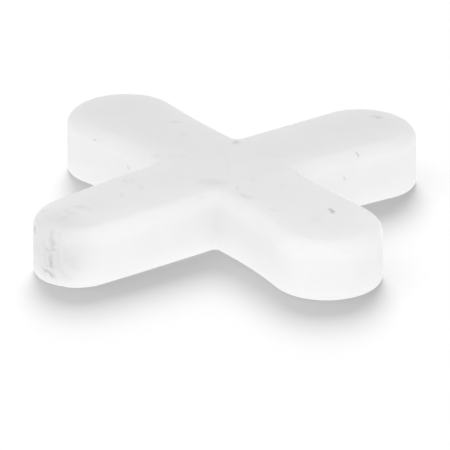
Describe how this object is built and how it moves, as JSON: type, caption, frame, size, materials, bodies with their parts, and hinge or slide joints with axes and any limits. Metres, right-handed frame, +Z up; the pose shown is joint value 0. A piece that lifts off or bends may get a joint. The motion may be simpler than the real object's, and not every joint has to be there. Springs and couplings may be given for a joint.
{
  "type": "tile spacer",
  "caption": "Flat cross-shaped spacer with round-ended arms, set between wall or floor tiles at their corners to hold an even joint while they are laid.",
  "frame": {"origin": "middle of the cross, on the plane the underside rests on", "axes": "+Z up through the thickness; the arms lie along +X, +Y, -X and -Y, and the arm with the slimmer, scuffed end is the one along -Y"},
  "size_m": [0.025, 0.025, 0.0034],
  "materials": {
    "soft_white_plastic": "soft satin, as moulded"
  },
  "bodies": {
    "root": {"spacer": "soft_white_plastic"}
  },
  "joints": []
}
